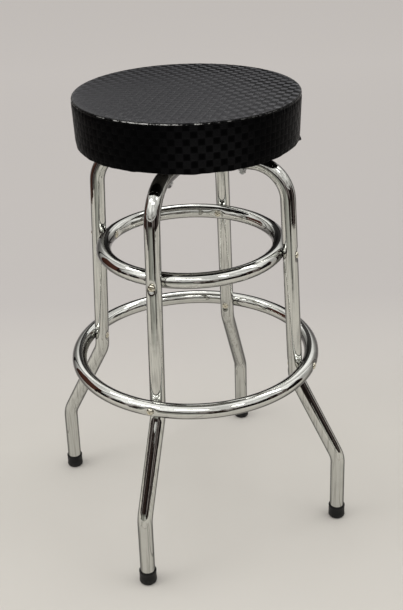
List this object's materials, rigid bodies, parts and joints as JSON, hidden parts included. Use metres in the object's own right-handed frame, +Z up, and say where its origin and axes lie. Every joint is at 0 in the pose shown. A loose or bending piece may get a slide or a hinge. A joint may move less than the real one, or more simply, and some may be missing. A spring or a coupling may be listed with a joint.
{
  "type": "bar stool",
  "caption": "Round backless bar stool with a swivelling padded seat on crossed bent-tube legs, a small upper ring and a larger foot ring.",
  "frame": {"origin": "on the floor, at the middle of the stool's base", "axes": "+Z up along the seat's swivel axis; one leg points along each of -Y (front), +X (right), +Y (back) and -X (left)"},
  "size_m": [0.5532, 0.5532, 0.765],
  "materials": {
    "chromed_tube": "polished chrome plate",
    "zinc_fasteners": "yellowish zinc plate",
    "foot_rubber": "matt black moulded rubber",
    "swivel_steel": "zinc-plated pressed sheet",
    "ball_steel": "polished bearing steel",
    "cage_brass": "stamped brass",
    "plywood": "raw plywood",
    "foam": "open-cell foam",
    "black_vinyl": "satin black vinyl embossed with a small checkerboard",
    "staple_wire": "galvanised wire"
  },
  "bodies": {
    "frame": {"hoop_front_back": "chromed_tube", "hoop_left_right": "chromed_tube", "upper_ring": "chromed_tube", "foot_ring": "chromed_tube", "upper_ring_screws": "zinc_fasteners", "upper_ring_sleeve_nuts": "zinc_fasteners", "foot_ring_screws": "zinc_fasteners", "foot_ring_sleeve_nuts": "zinc_fasteners", "foot_cap_front": "foot_rubber", "foot_cap_right": "foot_rubber", "foot_cap_back": "foot_rubber", "foot_cap_left": "foot_rubber", "swivel_lower_plate": "swivel_steel", "plate_bolts": "zinc_fasteners", "saddle_washers": "zinc_fasteners", "plate_nuts": "zinc_fasteners", "bearing_balls": "ball_steel", "ball_cage": "cage_brass"},
    "seat": {"swivel_upper_plate": "swivel_steel", "king_pin": "swivel_steel", "king_pin_nut": "swivel_steel", "seat_screws": "zinc_fasteners", "tee_nuts": "zinc_fasteners", "seat_board": "plywood", "seat_foam": "foam", "cover_top_panel": "black_vinyl", "cover_side_band": "black_vinyl", "staples": "staple_wire"}
  },
  "joints": [
    {"name": "seat_swivel", "type": "hinge", "parent": "frame", "child": "seat", "pos_m": [0, 0, 0.6776], "axis": [0, 0, 1], "continuous": true}
  ]
}
